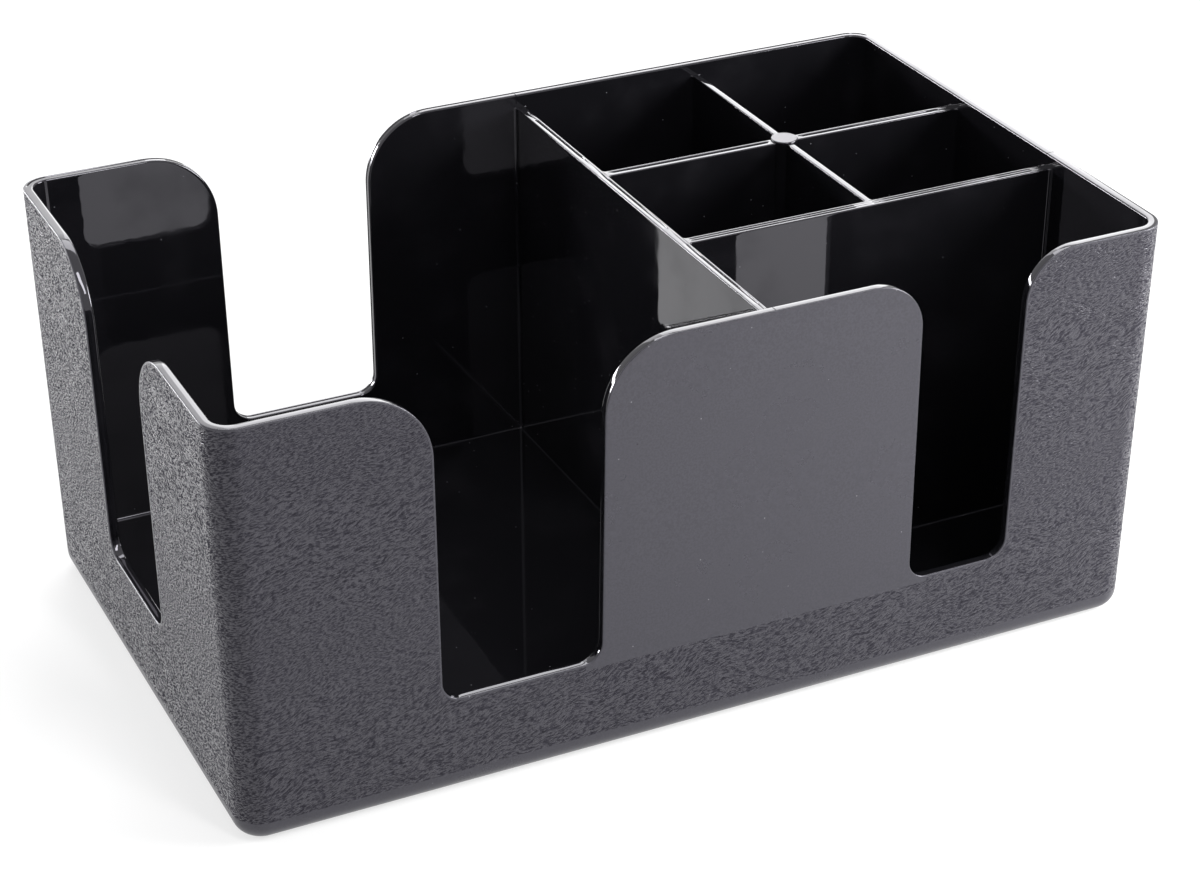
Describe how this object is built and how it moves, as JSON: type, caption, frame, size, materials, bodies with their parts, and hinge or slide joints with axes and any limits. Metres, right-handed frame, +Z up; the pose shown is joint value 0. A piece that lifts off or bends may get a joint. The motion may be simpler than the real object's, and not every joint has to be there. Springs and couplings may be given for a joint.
{
  "type": "condiment caddy",
  "caption": "Low rectangular bar caddy in black plastic with open bays for napkins, straws and stirrers, thumb cut-outs in its walls and a grained outside.",
  "frame": {"origin": "centre of the underside, on the table that the caddy stands on", "axes": "+X along the length, from the napkin bay towards the small bays; +Y from the front to the back; +Z up"},
  "size_m": [0.241, 0.146, 0.108],
  "materials": {
    "grained_black": "fine leather grain outside, polished inside",
    "gloss_black": "polished"
  },
  "bodies": {
    "root": {"case": "grained_black", "bay_divider": "gloss_black", "cross_partition": "gloss_black", "grid_rib_left": "gloss_black", "grid_rib_right": "gloss_black", "grid_rib_rear": "gloss_black", "grid_rib_front": "gloss_black", "centre_post": "gloss_black"}
  },
  "joints": []
}
